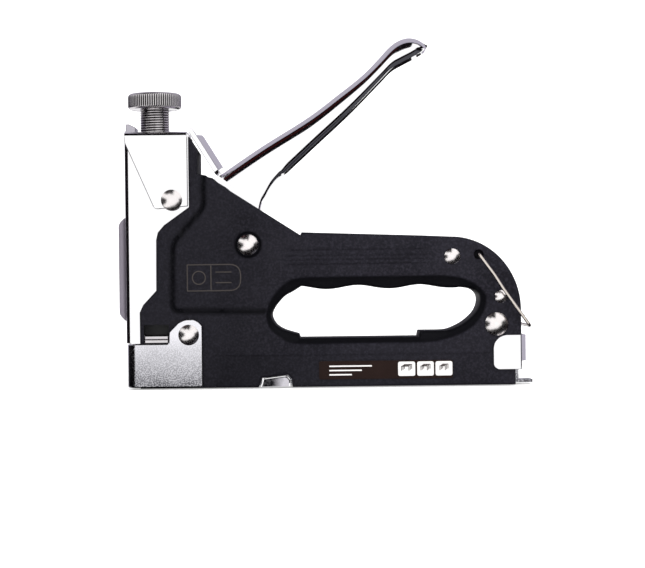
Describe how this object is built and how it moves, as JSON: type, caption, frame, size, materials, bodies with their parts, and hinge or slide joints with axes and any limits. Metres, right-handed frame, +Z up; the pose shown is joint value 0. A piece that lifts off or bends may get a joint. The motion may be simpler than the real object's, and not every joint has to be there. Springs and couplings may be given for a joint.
{
  "type": "staple gun",
  "caption": "Hand staple gun with a chrome squeeze lever over a black two-shell body with a finger opening, a steel nose and a round tension knob.",
  "frame": {"origin": "bottom centre of the whole tool's box, on the surface that the base stands on", "axes": "+X runs from the nose to the tail, +Z is up towards the knob and the lever, and +Y points to the tool's right-hand side"},
  "size_m": [0.1658, 0.033, 0.14],
  "materials": {
    "casing": "near-black moulded casing with a fine matt grain",
    "label": "printed dark brown sticker, slightly glossy",
    "chrome": "bright chrome plate",
    "satin_steel": "satin grey plated steel",
    "dark_steel": "oiled hardened steel",
    "nickel": "darker nickel plate with a straight knurl",
    "spring_steel": "drawn spring wire",
    "wire": "plated spring wire",
    "pad_plastic": "grey moulded pad",
    "rubber": "black rubber"
  },
  "bodies": {
    "frame": {"left_shell": "casing", "right_shell": "casing", "label": "label", "front_housing": "chrome", "top_cap": "chrome", "front_plate": "satin_steel", "front_pad": "pad_plastic", "nose_bracket": "satin_steel", "bumper": "rubber", "bumper_retainer": "chrome", "pivot_rivet": "chrome", "nose_rivet": "chrome", "grip_rivet": "chrome", "small_rear_rivet": "chrome", "rear_rivet": "chrome", "left_cap_rivet": "chrome", "right_cap_rivet": "chrome", "pivot_bush": "dark_steel", "nose_spacer": "dark_steel", "grip_spacer": "dark_steel", "rear_spacer": "dark_steel", "return_spring": "spring_steel", "main_spring": "spring_steel", "adjuster_nut": "dark_steel", "magazine_channel": "satin_steel", "magazine_bracket": "chrome", "staple_rail": "satin_steel", "rail_pin": "dark_steel"},
    "squeeze_lever": {"lever": "chrome", "lifter_pin": "dark_steel", "lifter_roller": "dark_steel"},
    "hammer_assembly": {"hammer": "dark_steel", "driver_blade": "satin_steel"},
    "adjuster_cup": {"spring_cup": "dark_steel"},
    "adjuster_screw": {"tension_screw": "nickel"},
    "feeder": {"rear_clip": "chrome", "feed_rod": "dark_steel", "feed_spring": "spring_steel"},
    "pusher": {"staple_pusher": "dark_steel"},
    "bail": {"lock_bail": "wire"}
  },
  "joints": [
    {"name": "lever_squeeze", "type": "hinge", "parent": "frame", "child": "squeeze_lever", "pos_m": [-0.0307, 0, 0.0569], "axis": [0, 1, 0], "range_deg": [0, 40], "stiffness_Nm_per_rad": 2, "springref_deg": -34.38, "deforming": ["return_spring"]},
    {"name": "hammer_lift", "type": "slide", "parent": "frame", "child": "hammer_assembly", "axis": [0, 0, 1], "range_m": [0, 0.01846], "deforming": ["main_spring"]},
    {"name": "cup_feed", "type": "slide", "parent": "frame", "child": "adjuster_cup", "axis": [0, 0, -1], "range_m": [0, 0.0045]},
    {"name": "knob_turn", "type": "hinge", "parent": "adjuster_cup", "child": "adjuster_screw", "pos_m": [-0.0684, 0, 0.1], "axis": [0, 0, -1], "range_deg": [0, 1630]},
    {"name": "feeder_pull", "type": "slide", "parent": "frame", "child": "feeder", "axis": [1, 0, 0], "range_m": [0, 0.11]},
    {"name": "pusher_slide", "type": "slide", "parent": "feeder", "child": "pusher", "axis": [1, 0, 0], "range_m": [0, 0.09], "stiffness_N_per_m": 30, "springref_m": -0.05, "deforming": ["feed_spring"]},
    {"name": "bail_swing", "type": "hinge", "parent": "frame", "child": "bail", "pos_m": [0.061, 0, 0.052], "axis": [0, -1, 0], "range_deg": [0, 150]}
  ],
  "couplings": [
    {"joint": "lever_squeeze", "follows": "hammer_lift", "rad_per_m": 37.798},
    {"joint": "knob_turn", "follows": "cup_feed", "rad_per_m": 6283.2}
  ]
}
